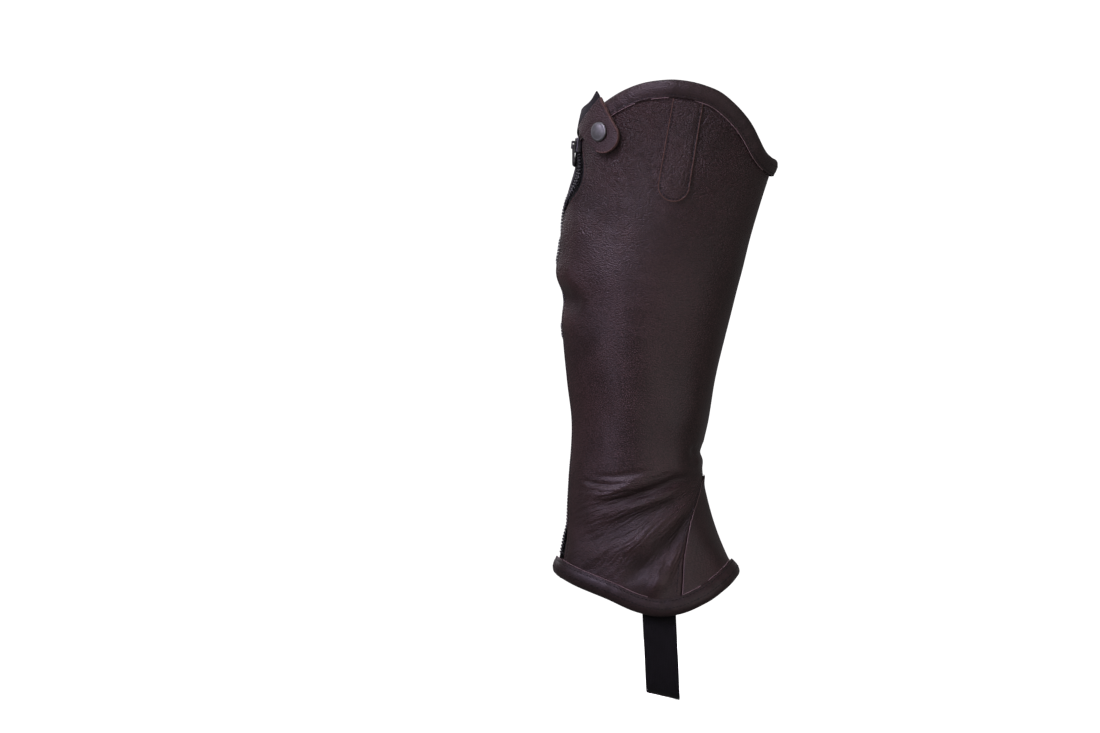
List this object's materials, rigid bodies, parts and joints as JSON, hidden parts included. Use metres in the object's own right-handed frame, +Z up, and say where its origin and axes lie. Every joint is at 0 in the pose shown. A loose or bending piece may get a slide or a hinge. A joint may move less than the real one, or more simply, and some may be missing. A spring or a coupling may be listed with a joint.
{
  "type": "leather half chap",
  "caption": "Dark brown leather half chap for a rider's right lower leg, with an elastic panel, a back zip, a snap tab and a strap under the foot.",
  "frame": {"origin": "in the middle of the calf, inside the hollow, where a leg holds the half chap up", "axes": "+Z up the leg, +X to the shin and toes, -Y to the outer side of the right leg"},
  "size_m": [0.1747, 0.1206, 0.4824],
  "materials": {
    "leather": "dark plum brown, fine pebble grain, soft sheen",
    "trim_leather": "dark brown, smoother, soft sheen",
    "tab_leather": "dark brown with pale cut edges",
    "elastic": "black ribbed elastic, matt",
    "zip_tape": "black woven tape, matt",
    "zip_teeth": "dark gunmetal",
    "snap_metal": "grey gunmetal, smooth"
  },
  "bodies": {
    "chap": {"leather_panel": "leather", "ankle_gusset": "leather", "tongue_patch": "leather", "top_binding": "trim_leather", "hem_binding": "trim_leather", "inner_seam_strip": "trim_leather", "zip_guard": "trim_leather", "snap_tab": "tab_leather", "elastic_panel": "elastic", "elastic_top_hem": "elastic", "top_strap": "elastic", "instep_strap": "elastic", "zip_tape_inner": "zip_tape", "zip_tape_outer": "zip_tape", "zip_chain": "zip_teeth", "zip_slider": "zip_teeth", "snap_cap": "snap_metal", "snap_socket": "snap_metal"},
    "pull": {"zip_pull": "zip_teeth"}
  },
  "joints": [
    {"name": "pull_swing", "type": "hinge", "parent": "chap", "child": "pull", "pos_m": [-0.06593, -0.00991, 0.05844], "axis": [-0.2026, 0.9793, 0], "range_deg": [0, 110]}
  ]
}
